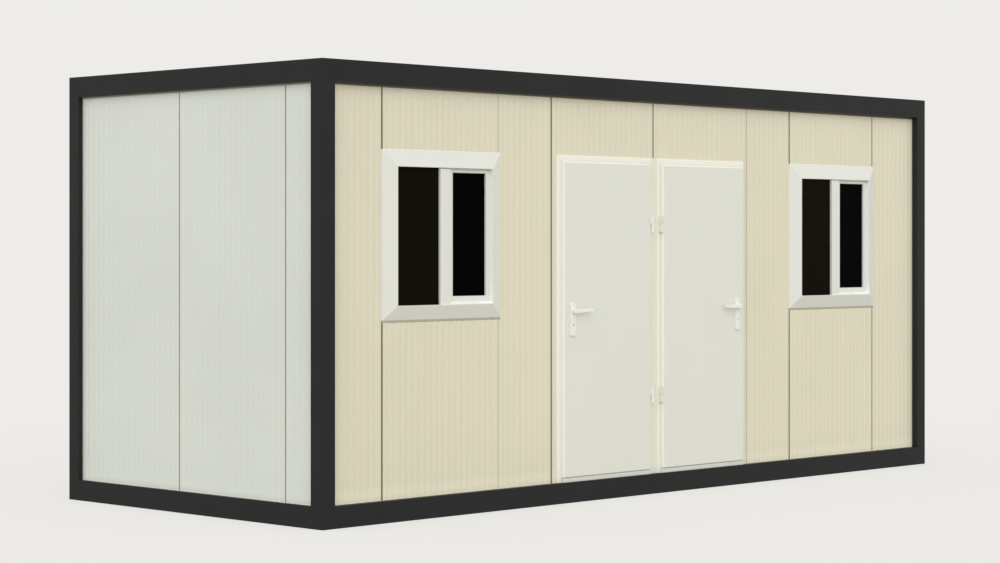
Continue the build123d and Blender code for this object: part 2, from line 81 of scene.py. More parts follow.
class NodeTree:
    """The node tree of a material or world, with short calls to add and join its nodes."""

    def __init__(self, owner: bpy.types.Material | bpy.types.World) -> None:
        """Clear the owner's tree and keep it."""
        owner.use_nodes = True
        self.tree = owner.node_tree
        self.tree.nodes.clear()

    def add(self, kind: str, **settings: object) -> bpy.types.Node:
        """Add a node.

        Args:
            kind: the node's type without its ShaderNode prefix.
            settings: attributes of the node to set.

        Returns:
            The new node.
        """
        node = self.tree.nodes.new("ShaderNode" + kind)
        for name, value in settings.items():
            setattr(node, name, value)
        return node

    def join(self, source: Socket, target: Socket) -> None:
        """Link one socket to another."""
        self.tree.links.new(source, target)

    def larger(self, first: Socket, second: Socket) -> Socket:
        """Take the larger of two values.

        Args:
            first, second: the sockets to compare.

        Returns:
            The socket with the larger value.
        """
        node = self.add("Math", operation="MAXIMUM")
        self.join(first, node.inputs[0])
        self.join(second, node.inputs[1])
        return node.outputs["Value"]

    def noise(self, vector: Socket, scale: float, detail: float = 2.0) -> Socket:
        """Add a noise texture.

        Args:
            vector: the coordinates it lies on.
            scale: how many of its patches go into one unit.
            detail: how many finer layers it has.

        Returns:
            The socket with its value.
        """
        texture = self.add("TexNoise")
        texture.inputs["Scale"].default_value = scale
        texture.inputs["Detail"].default_value = detail
        self.join(vector, texture.inputs["Vector"])
        return texture.outputs["Fac"]

    def spread(
        self, value: Socket, from_range: tuple[float, float], to_range: tuple[float, float], ease: str
    ) -> Socket:
        """Map one range of a value onto another.

        Args:
            value: the socket to map.
            from_range: the range it is read over.
            to_range: what the ends of that range become.
            ease: the kind of interpolation between them.

        Returns:
            The socket with the mapped value.
        """
        node = self.add("MapRange", interpolation_type=ease)
        for prefix, (low, high) in (("From", from_range), ("To", to_range)):
            node.inputs[f"{prefix} Min"].default_value = low
            node.inputs[f"{prefix} Max"].default_value = high
        self.join(value, node.inputs["Value"])
        return node.outputs["Result"]

    def remap(self, value: Socket, low: float, high: float) -> Socket:
        """Spread the middle of a noise value over the range from low to high."""
        return self.spread(value, (NOISE_LOW, NOISE_HIGH), (low, high), "LINEAR")

    def stretched(self, scale: tuple[float, float, float] = (1, 1, 1)) -> Socket:
        """Stretch Object coordinates.

        Args:
            scale: the factor along each axis.

        Returns:
            The socket with the stretched coordinates.
        """
        mapping = self.add("Mapping")
        mapping.inputs["Scale"].default_value = scale
        self.join(self.add("TexCoord").outputs["Object"], mapping.inputs["Vector"])
        return mapping.outputs["Vector"]

    def dimmed(self, color: Socket, factor: Socket) -> Socket:
        """Multiply a colour by a factor.

        Args:
            color: the socket with the colour.
            factor: the socket with the factor.

        Returns:
            The socket with the product.
        """
        product = self.add("VectorMath", operation="SCALE")
        self.join(color, product.inputs[0])
        self.join(factor, product.inputs["Scale"])
        return product.outputs["Vector"]

    def blend(
        self,
        share: Socket | float,
        first: Socket,
        second: Socket,
    ) -> Socket:
        """Mix two shaders.

        Args:
            share: how much of the second is shown, as a number or a socket.
            first, second: the shaders' sockets.

        Returns:
            The socket with the mix.
        """
        mix = self.add("MixShader")
        if isinstance(share, Socket):
            self.join(share, mix.inputs["Fac"])
        else:
            mix.inputs["Fac"].default_value = share
        self.join(first, mix.inputs[1])
        self.join(second, mix.inputs[2])
        return mix.outputs["Shader"]

    def shine(self, color: Color) -> Socket:
        """Add an even glow.

        Args:
            color: its colour.

        Returns:
            The socket with its shader.
        """
        glow = self.add("Emission")
        glow.inputs["Color"].default_value = scaled(color, 1)
        return glow.outputs["Emission"]

    def close(self, kind: str, shader: Socket) -> None:
        """Link the finished shader to a material's or world's output."""
        self.join(shader, self.add("Output" + kind).inputs["Surface"])


# ---------------------------------------------------------------- finishes


@dataclass(frozen=True)
class Finish:
    """What a surface is covered with: its colour drifts between two shades and its gloss varies."""

    name: str
    color: Color
    roughness: float = 0.45
    roughness_drift: float = 0.05
    drift: float = 0.02
    drift_size: float = 0.8
    gloss_patches: float = 3.0
    specular: float = 0.5

    def material(self) -> bpy.types.Material:
        """Build the finish's material, or return it if it is there already.

        Returns:
            A material with its pattern in Object coordinates.
        """
        found = bpy.data.materials.get(self.name)
        if found:
            return found
        made = bpy.data.materials.new(self.name)
        tree = NodeTree(made)
        place = tree.stretched()
        shader = tree.add("BsdfPrincipled")
        shader.inputs["Specular IOR Level"].default_value = self.specular
        tree.join(self.tint(tree, place), shader.inputs["Base Color"])
        rough, smooth = self.roughness + self.roughness_drift, self.roughness - self.roughness_drift
        gloss = tree.remap(tree.noise(place, self.gloss_patches / self.drift_size), smooth, rough)
        tree.join(gloss, shader.inputs["Roughness"])
        self.relief(tree, place, shader)
        tree.close("Material", shader.outputs["BSDF"])
        return made

    def tint(self, tree: NodeTree, place: Socket) -> Socket:
        """Make the surface's colour.

        Args:
            tree: the material's tree.
            place: the coordinates of the pattern.

        Returns:
            The socket that carries the colour, drifting slowly about the finish's own.
        """
        drifting = tree.add("Mix", data_type="RGBA")
        drifting.inputs["A"].default_value = scaled(self.color, 1 - self.drift)
        drifting.inputs["B"].default_value = scaled(self.color, 1 + self.drift)
        tree.join(tree.remap(tree.noise(place, 1 / self.drift_size), 0, 1), drifting.inputs["Factor"])
        return drifting.outputs["Result"]

    def relief(self, tree: NodeTree, place: Socket, shader: bpy.types.Node) -> None:
        """Leave the surface smooth; a finish with a grain adds it here."""


@dataclass(frozen=True)
class SurfaceFinish(Finish):
    """A painted, coated or moulded surface, with a fine grain and, on a rolled sheet, streaks down it and
    painted light that makes it lighter towards its foot.
    """

    streaks: float = 0.0
    streak_width: float = 0.012
    streak_stretch: float = 0.7
    streak_detail: float = 3.0
    # Painted light near the sheet's foot: how much lighter, from what height and over what reach.
    foot_gain: float = 0.0
    foot_height: float = 0.13
    foot_reach: float = 0.12
    grain_height: float = 0.00002
    grain_size: float = 0.003
    metallic: float = 0.0

    def tint(self, tree: NodeTree, place: Socket) -> Socket:
        """Make the surface's colour, streaked down the sheet and painted lighter towards its foot, as painted
        light that lifts the shade over the bottom beam.

        Args:
            tree: the material's tree.
            place: the coordinates of the pattern.

        Returns:
            The socket that carries the colour.
        """
        color = super().tint(tree, place)
        if self.streaks:
            along = 1 / self.streak_width
            fine = tree.noise(tree.stretched((along, along, self.streak_stretch)), 1, self.streak_detail)
            color = tree.dimmed(color, tree.remap(fine, 1 - self.streaks, 1 + self.streaks))
        # Painted light: the colour is raised near the sheet's foot to lift the shade there.
        if self.foot_gain:
            color = tree.dimmed(color, self.foot_painted_light_factor(tree, place))
        return color

    def relief(self, tree: NodeTree, place: Socket, shader: bpy.types.Node) -> None:
        """Give the surface its grain, and its metal where it is bare.

        Args:
            tree: the material's tree.
            place: the coordinates of the pattern.
            shader: the node that takes them.
        """
        shader.inputs["Metallic"].default_value = self.metallic
        bump = tree.add("Bump")
        bump.inputs["Distance"].default_value = self.grain_height
        tree.join(tree.noise(place, 1 / self.grain_size), bump.inputs["Height"])
        tree.join(bump.outputs["Normal"], shader.inputs["Normal"])

    def foot_painted_light_factor(self, tree: NodeTree, place: Socket) -> Socket:
        """Tell how much lighter the sheet is painted towards its foot, as painted light against the shade
        there.

        Args:
            tree: the material's tree.
            place: the coordinates of the pattern.

        Returns:
            The socket that carries the factor, 1 above the band of painted light.
        """
        parts = tree.add("SeparateXYZ")
        tree.join(place, parts.inputs["Vector"])
        band = (self.foot_height, self.foot_height + self.foot_reach)
        return tree.spread(parts.outputs["Z"], band, (1 + self.foot_gain, 1), "SMOOTHERSTEP")


@dataclass(frozen=True)
class DarkGlass(Finish):
    """Window glass over an unlit room: near black, with a faint smear in its gloss."""

    roughness: float = 0.12
    roughness_drift: float = 0.04
    drift: float = 0.08
    drift_size: float = 2 / 3
    gloss_patches: float = 8 / 3
    specular: float = 0.01


def paint(name: str, screen_color: tuple[float, float, float], **settings: float) -> SurfaceFinish:
    """Describe a surface finish by its colour on a screen and whatever differs from the usual."""
    return SurfaceFinish(name, linear(*screen_color), **settings)


FRAME_PAINT = paint("anthracite_paint", (38, 38, 39), roughness=0.5, drift=0.05, specular=0.15)
# The wall sheets are painted lighter near their foot, as painted light against the shade over the bottom
# beam.
CREAM_SHEET = paint("cream_sheet", (222, 216, 191), roughness=0.5, streaks=0.014, foot_gain=0.15)
PALE_SHEET = paint("pale_grey_sheet", (218, 222, 212), roughness=0.5, streaks=0.009, foot_gain=0.08)
DOOR_PAINT = paint("door_paint", (225, 225, 214), roughness=0.45, drift=0.008)
WINDOW_PLASTIC = paint("window_plastic", (225, 225, 216), roughness=0.35, drift=0.006)
HANDLE_COAT = paint("handle_coat", (236, 236, 228), roughness=0.35, drift=0.01)
ROOF_SHEET = paint("roof_sheet", (206, 208, 206), roughness=0.45, drift=0.03, streaks=0.01)
FLOOR_COVER = paint("floor_cover", (132, 118, 100), roughness=0.55, drift=0.08, drift_size=0.3)
JOIST_PRIMER = paint("joist_primer", (84, 86, 88), roughness=0.6, drift=0.08)
SEAL_RUBBER = paint("seal_rubber", (122, 116, 97), roughness=0.7, drift=0.05, specular=0.1)
# Painted shade: the front wall's bead under the top beam is dark where the beam's shade falls on the wall.
FRONT_HEAD_PAINTED_SHADE = paint("front_head_painted_shade", (100, 94, 78), roughness=0.6, drift=0.03, drift_size=0.1)
WALL_SEALANT = paint("wall_sealant", (220, 216, 198), roughness=0.5, drift=0.02, drift_size=0.1)
# Plain sealant on the roof's fillet; on the other walls' beads under the top beam the same colour is painted
# shade.
HEAD_SEALANT_AND_PAINTED_SHADE = paint("head_sealant_and_painted_shade", (146, 140, 120), roughness=0.6, drift=0.03, drift_size=0.1)
# Painted shadow: the bead under each window trim is darkened where the trim's shadow falls on the wall.
WINDOW_BEAD_PAINTED_SHADOW = paint("window_bead_painted_shadow", (174, 168, 147), roughness=0.6, drift=0.03, drift_size=0.1)
# Painted light: the strip between the door frames is paler than the wall, standing in for the light that the
# white frames throw into the narrow gap.
COVER_STRIP_PAINTED_LIGHT = paint("cover_strip_painted_light", (230, 227, 209), roughness=0.5, drift=0.01)
# Painted highlights: whiter edgings along the lit edges of the door frames and leaves.
FRAME_EDGE_PAINTED_HIGHLIGHT = paint("frame_edge_painted_highlight", (238, 235, 221), roughness=0.4, drift=0.006)
LEAF_EDGE_PAINTED_HIGHLIGHT = paint("leaf_edge_painted_highlight", (238, 238, 230), roughness=0.4, drift=0.006)
# Painted highlight: whiter plastic on the window's drip, jamb lining and sill nosing, lifting the shade in
# the recess.
WINDOW_PAINTED_HIGHLIGHT = paint("window_painted_highlight", (248, 248, 241), roughness=0.3, drift=0.006)
SCREW_ZINC = paint("screw_zinc", (168, 170, 172), roughness=0.35, drift=0.04, metallic=0.8)
SEAM_METAL = paint("seam_metal", (176, 172, 164), roughness=0.4, drift=0.04, metallic=0.7)
# Painted highlight: the hinge pins are whiter than the door's paint, standing in for the light on their
# barrels.
HINGE_PAINTED_HIGHLIGHT = paint("hinge_painted_highlight", (236, 234, 220), roughness=0.4, drift=0.006)
LOCK_METAL = paint("lock_metal", (74, 72, 66), roughness=0.4, drift=0.05, metallic=0.6)
# Painted shade: the panes are near black for the unlit room behind them, and the fixed pane's brown tint
# stands in for the dim room and its reflection.
SASH_GLASS = DarkGlass("sash_glass", linear(2, 2, 2))
FIXED_GLASS = DarkGlass("fixed_glass", linear(19, 16, 10))


# ---------------------------------------------------------------- dressing and mesh helpers


def dress(node: str, finish: Finish) -> None:
    """Give a CAD node its finish and report it.

    Args:
        node: the node's name.
        finish: what it is covered with.
    """
    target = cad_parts[node]
    target.data.materials.clear()
    target.data.materials.append(finish.material())
    log.info("dressed %s with %s", node, finish.name)


def extruded(outline: list[Point], reach: Point) -> Mesh:
    """Push a closed outline along a vector.

    Args:
        outline: the corners of one end, in order.
        reach: the vector to the other end.

    Returns:
        A bar with both ends closed.
    """
    mesh = bmesh.new()
    end = mesh.faces.new([mesh.verts.new(corner) for corner in outline])
    grown = bmesh.ops.extrude_face_region(mesh, geom=[end])["geom"]
    moved = [item for item in grown if isinstance(item, bmesh.types.BMVert)]
    bmesh.ops.translate(mesh, vec=reach, verts=moved)
    bmesh.ops.recalc_face_normals(mesh, faces=mesh.faces[:])
    return mesh


def block(low: Vector, high: Vector) -> Mesh:
    """Make the square-edged blank that a piece is shaped from.

    Args:
        low, high: its corners.

    Returns:
        The blank.
    """
    mesh = bmesh.new()
    bmesh.ops.create_cube(mesh, size=1)
    bmesh.ops.scale(mesh, vec=high - low, verts=mesh.verts[:])
    bmesh.ops.translate(mesh, vec=(low + high) / 2, verts=mesh.verts[:])
    return mesh


def round_off(mesh: Mesh, edges: list[bmesh.types.BMEdge], radius: float, segments: int) -> None:
    """Round some of a mesh's edges.

    Args:
        mesh: the mesh.
        edges: the edges to round.
        radius: how far the rounding reaches from each edge.
        segments: how many flats make up the rounding.
    """
    bmesh.ops.bevel(
        mesh,
        geom=edges,
        offset=radius,
        offset_type="OFFSET",
        segments=segments,
        profile=0.5,
        affect="EDGES",
        material=-1,
    )


def cut(mesh: Mesh, place: Point, normal: Point, snap: float = 0.0, drop: bool = True) -> None:
    """Cut a mesh along a plane, and drop what lies past it unless told to keep it.

    Args:
        mesh: the mesh.
        place: a point of the plane.
        normal: the side of it that is dropped.
        snap: how near to the plane a corner counts as on it.
        drop: whether what lies past the plane is dropped.
    """
    geometry = mesh.verts[:] + mesh.edges[:] + mesh.faces[:]
    bmesh.ops.bisect_plane(mesh, geom=geometry, dist=snap, plane_co=place, plane_no=normal, clear_outer=drop)


def face_outwards(mesh: Mesh, probe: bmesh.types.BMFace) -> None:
    """Point an open shell's faces outwards.

    Args:
        mesh: the shell.
        probe: one of its faces, which is to look towards -Y.
    """
    bmesh.ops.recalc_face_normals(mesh, faces=mesh.faces[:])
    if probe.normal.y > 0:
        bmesh.ops.reverse_faces(mesh, faces=mesh.faces[:])


def depth_of(face: bmesh.types.BMFace) -> float:
    """Return how far back a face lies."""
    return face.calc_center_median().y


def add_mesh(target: Mesh, source: Mesh) -> None:
    """Add one mesh to another.

    Args:
        target: the mesh that grows.
        source: the mesh that is added; it is freed here.
    """
    data = bpy.data.meshes.new("joined")
    source.to_mesh(data)
    source.free()
    target.from_mesh(data)
    bpy.data.meshes.remove(data)


def turned(outline: list[tuple[float, float]], centre: Vector, segments: int = 32) -> Mesh:
    """Turn an outline round an axis that runs into the wall.

    Args:
        outline: pairs of radius and distance along +Y from the centre, both ends at radius 0.
        centre: where the axis starts.
        segments: how many steps the turn has.

    Returns:
        A closed round shape.
    """
    mesh = bmesh.new()
    corners = [mesh.verts.new((centre.x + radius, centre.y + along, centre.z)) for radius, along in outline]
    edges = [mesh.edges.new(pair) for pair in zip(corners, corners[1:])]
    bmesh.ops.spin(
        mesh,
        geom=corners + edges,
        cent=centre,
        axis=(0, 1, 0),
        angle=math.tau,
        steps=segments,
        use_merge=True,
    )
    bmesh.ops.remove_doubles(mesh, verts=mesh.verts[:], dist=WELD)
    bmesh.ops.recalc_face_normals(mesh, faces=mesh.faces[:])
    return mesh


def place_mesh(name: str, mesh: Mesh, finish: Finish, body: str) -> bpy.types.Object:
    """Turn a finished bmesh into a piece of the cabin.

    Args:
        name: the piece's name.
        mesh: its shape, already in place; it is freed here.
        finish: what it is covered with.
        body: the CAD body it moves with.

    Returns:
        The new object.
    """
    data = bpy.data.meshes.new(name)
    mesh.to_mesh(data)
    mesh.free()
    data.materials.append(finish.material())
    piece = bpy.data.objects.new(name, data)
    bpy.context.scene.collection.objects.link(piece)
    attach(piece, body)
    log.info("made %s with %d faces", name, len(data.polygons))
    return piece


# ---------------------------------------------------------------- steel frame, floor and roof


@dataclass
class SteelFrame:
    """The dark frame: four corner posts and the beams between them."""

    corners: tuple[str, ...] = ("front_left", "front_right", "back_left", "back_right")
    sides: tuple[str, ...] = ("front", "back", "left", "right")

    def build(self) -> None:
        """Paint the posts and beams."""
        for corner in self.corners:
            dress(f"post_{corner}", FRAME_PAINT)
        for side in self.sides:
            dress(f"bottom_beam_{side}", FRAME_PAINT)
            dress(f"top_beam_{side}", FRAME_PAINT)


@dataclass
class FloorAndRoof:
    """The floor deck on its joists, with its seams, and the roof between the top beams, with its screws."""

    rib_spacing: float = 0.330
    screw_rows: int = 5
    row_margin: float = 0.150
    washer: float = 0.0100
    washer_height: float = 0.0020
    washer_taper: float = 0.8
    washer_sides: int = 12
    head: float = 0.0060
    head_height: float = 0.0070
    head_taper: float = 0.85
    head_sides: int = 6
    rib_height: float = 0.030
    fillet: float = 0.014
    hollow: tuple[float, float] = (0.25, 0.5)
    seams: int = 3
    seam_width: float = 0.030
    seam_rise: float = 0.0020
    seam_taper: float = 0.7

    def build(self) -> None:
        """Dress the floor and the roof and add their finer pieces."""
        dress("floor_deck", FLOOR_COVER)
        dress("floor_joists", JOIST_PRIMER)
        dress("roof_panel", ROOF_SHEET)
        self.build_screws()
        self.build_fillet()
        self.build_seams()

    def build_screws(self) -> None:
        """Drive rows of hexagonal screws with round washers through the crests of the roof's ribs."""
        low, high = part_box("roof_panel")
        ribs = int((high.x - low.x) // self.rib_spacing)
        row_step = (high.y - low.y - 2 * self.row_margin) / (self.screw_rows - 1)
        mesh = bmesh.new()
        for rib in range(ribs):
            for row in range(self.screw_rows):
                x = (rib - (ribs - 1) / 2) * self.rib_spacing
                self.add_screw(mesh, Vector((x, low.y + self.row_margin + row * row_step, high.z)))
        place_mesh("roof_screws", mesh, SCREW_ZINC, "cabin")

    def add_screw(self, mesh: Mesh, foot: Vector) -> None:
        """Add one screw.

        Args:
            mesh: the bmesh that takes it.
            foot: where the washer sits on the crest.
        """
        parts = (
            (self.washer_sides, self.washer, self.washer_taper, 0, self.washer_height),
            (self.head_sides, self.head, self.head_taper, self.washer_height, self.head_height),
        )
        for sides, radius, taper, start, end in parts:
            bmesh.ops.create_cone(
                mesh,
                cap_ends=True,
                segments=sides,
                radius1=radius,
                radius2=taper * radius,
                depth=end - start,
                matrix=Matrix.Translation(foot + Vector((0, 0, (start + end) / 2))),
            )

    def build_fillet(self) -> None:
        """Run a hollow fillet of sealant round the roof, against the top beams."""
        low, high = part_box("roof_panel")
        deck = high.z - self.rib_height
        corner, far_corner = Vector((low.x, low.y, deck)), Vector((high.x, high.y, deck))
        width, depth = Vector((high.x - low.x, 0, 0)), Vector((0, high.y - low.y, 0))
        up = Vector((0, 0, self.fillet))
        near, far = self.hollow
        mesh = bmesh.new()
        for start, along, inwards in (
            (corner, width, Vector((0, 1, 0))),
            (far_corner - width, width, Vector((0, -1, 0))),
            (corner, depth, Vector((1, 0, 0))),
            (far_corner - depth, depth, Vector((-1, 0, 0))),
        ):
            out = inwards * self.fillet
            bend = [start + near * out + far * up, start + far * out + near * up]
            outline = [start, start + up, *bend, start + out]
            add_mesh(mesh, extruded(outline, along))
        # The roof fillet is plain sealant, in the colour that is painted shade on the wall beads.
        place_mesh("roof_fillet", mesh, HEAD_SEALANT_AND_PAINTED_SHADE, "cabin")

    def build_seams(self) -> None:
        """Lay the flat strips that cover the seams of the floor covering."""
        low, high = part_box("floor_deck")
        step = (high.x - low.x) / (self.seams + 1)
        half, top = self.seam_width / 2, high.z + self.seam_rise
        mesh = bmesh.new()
        for seam in range(self.seams):
            middle = low.x + step * (seam + 1)
            outline = [
                (middle - half, low.y, high.z),
                (middle + half, low.y, high.z),
                (middle + self.seam_taper * half, low.y, top),
                (middle - self.seam_taper * half, low.y, top),
            ]
            add_mesh(mesh, extruded(outline, (0, high.y - low.y, 0)))
        place_mesh("floor_seam_strips", mesh, SEAM_METAL, "cabin")


# ---------------------------------------------------------------- walls


class Side(Enum):
    """A side of the cabin, with the direction its wall runs in, seen from outside from left to right."""

    FRONT = (1, 0)
    BACK = (-1, 0)
    LEFT = (0, -1)
    RIGHT = (0, 1)

    def placement(self, face: Vector) -> Matrix:
        """Return the matrix from wall coordinates, (along, inwards, up), to the cabin's.

        Args:
            face: any point of the wall's outer face, where the second coordinate is 0.

        Returns:
            A turn and a shift, without any mirroring.
        """
        along = Vector((*self.value, 0))
        up = Vector((0, 0, 1))
        inwards = up.cross(along)
        turn = Matrix((along, inwards, up)).transposed().to_4x4()
        return Matrix.Translation(inwards * face.dot(inwards)) @ turn


@dataclass(frozen=True)
class Hole:
    """A rectangle left open in a wall's skin, in wall coordinates."""

    start: float
    end: float
    low: float
    high: float

    def holds(self, point: Vector) -> bool:
        """Tell whether a point of the skin lies in the hole."""
        return self.start < point.x < self.end and self.low < point.z < self.high


@dataclass
class RibbedSkin:
    """The outer steel skin of a wall panel, with shallow upright valleys at an even pitch."""

    pitch: float = 0.990 / 19
    valley: float = 0.009
    slope: float = 0.006
    depth: float = 0.0013
    lift: float = 0.0004
    thickness: float = 0.0003
    snap: float = 1e-7

    def sheet(self, start: float, end: float, anchor: float, low: float, high: float) -> Mesh:
        """Make the flat run of one skin.

        Args:
            start, end: where the skin begins and ends along the wall.
            anchor: a place along the wall where a valley is centred, not past start.
            low, high: its lower and upper edge.

        Returns:
            A bmesh in wall coordinates.
        """
        mesh = bmesh.new()
        floor, crest = self.lift, self.lift + self.depth
        half = self.valley / 2
        profile = [
            (0, floor),
            (half, floor),
            (half + self.slope, crest),
            (self.pitch - half - self.slope, crest),
            (self.pitch - half, floor),
            (self.pitch, floor),
        ]
        corners = [mesh.verts.new((anchor + along, -out, low)) for along, out in profile]
        edges = [mesh.edges.new(pair) for pair in zip(corners, corners[1:])]
        count = math.ceil((end - anchor) / self.pitch)
        bmesh.ops.spin(
            mesh,
            geom=corners + edges,
            cent=(0, 0, 0),
            axis=(0, 0, 1),
            dvec=(self.pitch, 0, 0),
            angle=0,
            steps=count - 1,
            use_duplicate=True,
        )
        bmesh.ops.remove_doubles(mesh, verts=mesh.verts[:], dist=WELD)
        cut(mesh, (start, 0, 0), (-1, 0, 0), self.snap)
        cut(mesh, (end, 0, 0), (1, 0, 0), self.snap)
        grown = bmesh.ops.extrude_edge_only(mesh, edges=mesh.edges[:])["geom"]
        raised = [item for item in grown if isinstance(item, bmesh.types.BMVert)]
        bmesh.ops.translate(mesh, vec=(0, 0, high - low), verts=raised)
        return mesh

    def pierce(self, mesh: Mesh, hole: Hole) -> None:
        """Cut a rectangular hole in a skin.

        Args:
            mesh: the skin, still in wall coordinates.
            hole: what to leave open.
        """
        for along in (hole.start, hole.end):
            cut(mesh, (along, 0, 0), (1, 0, 0), self.snap, drop=False)
        for up in (hole.low, hole.high):
            cut(mesh, (0, 0, up), (0, 0, 1), self.snap, drop=False)
        inside = [face for face in mesh.faces if hole.holds(face.calc_center_median())]
        bmesh.ops.delete(mesh, geom=inside, context="FACES")

    def finish(self, mesh: Mesh, placement: Matrix) -> None:
        """Turn a skin's faces outwards, give it its thickness and put it on its wall.

        Args:
            mesh: the skin, in wall coordinates.
            placement: the matrix from wall coordinates to the cabin's.
        """
        mesh.faces.ensure_lookup_table()
        face_outwards(mesh, mesh.faces[0])
        bmesh.ops.solidify(mesh, geom=mesh.faces[:], thickness=self.thickness)
        bmesh.ops.transform(mesh, matrix=placement, verts=mesh.verts[:])


@dataclass(frozen=True)
class FrontPanel:
    """A panel of the front wall, with the width of the joint at its left edge and how far its seal laps."""

    node: str
    joint: float = 0.0
    lap: float = 0.0


@dataclass(frozen=True)
class Joint:
    """An upright joint between two panels, in wall coordinates, and how far its seal laps the first panel."""

    centre: float
    width: float
    lap: float
    low: float
    high: float


@dataclass
class WallSeals:
    """The strips along a wall: seals in its joints, a bead under the top beam, darkened as painted shade, and
    sealant along its foot.
    """

    # The bead under the top beam is coloured as painted shade.
    painted_head_shade: SurfaceFinish = HEAD_SEALANT_AND_PAINTED_SHADE
    head_height: float = 0.011
    head_depth: float = 0.006
    head_cut: float = 0.6
    reach: float = 0.006
    proud: float = 0.0022
    shoulder: float = 0.0006
    foot: float = 0.004
    hollow: tuple[float, float] = (0.25, 0.6)

    def joint(self, joint: Joint) -> Mesh:
        """Make the seal in one joint, with a rounded face and a lip over the first panel where it laps.

        Args:
            joint: the joint's place, size and lap.

        Returns:
            A bmesh in wall coordinates.
        """
        half = joint.width / 2
        proud = self.proud if joint.lap else self.proud / 2
        start, end = joint.centre - half - joint.lap, joint.centre + half
        outline = [
            (end, self.reach, joint.low),
            (end, self.shoulder - proud, joint.low),
            (end - half / 2, -proud, joint.low),
            (start + half / 2, -proud, joint.low),
            (start, self.shoulder - proud, joint.low),
        ]
        if joint.lap:
            outline += [(start, 0, joint.low), (joint.centre - half, 0, joint.low)]
        outline.append((joint.centre - half, self.reach, joint.low))
        return extruded(outline, (0, 0, joint.high - joint.low))

    def head(self, start: float, end: float, top: float) -> Mesh:
        """Make the strip under the top beam, with its lower outer edge cut back; its dark colour is painted
        shade.

        Args:
            start, end: where it begins and ends along the wall.
            top: how high its upper edge is.

        Returns:
            A bmesh in wall coordinates.
        """
        height, depth = self.head_height, self.head_depth
        outline = [
            (start, 0, top),
            (start, 0, top - height),
            (start, -self.head_cut * depth, top - height),
            (start, -depth, top - self.head_cut * height),
            (start, -depth, top),
        ]
        return extruded(outline, (end - start, 0, 0))

    def sealant(self, start: float, end: float, bottom: float) -> Mesh:
        """Make the hollow fillet of sealant between the wall's foot and the bottom beam.

        Args:
            start, end: where it begins and ends along the wall.
            bottom: how high its lower edge is.

        Returns:
            A bmesh in wall coordinates.
        """
        near, far = (share * self.foot for share in self.hollow)
        outline = [
            (start, 0, bottom),
            (start, 0, bottom + self.foot),
            (start, -near, bottom + far),
            (start, -far, bottom + near),
            (start, -self.foot, bottom),
        ]
        return extruded(outline, (end - start, 0, 0))


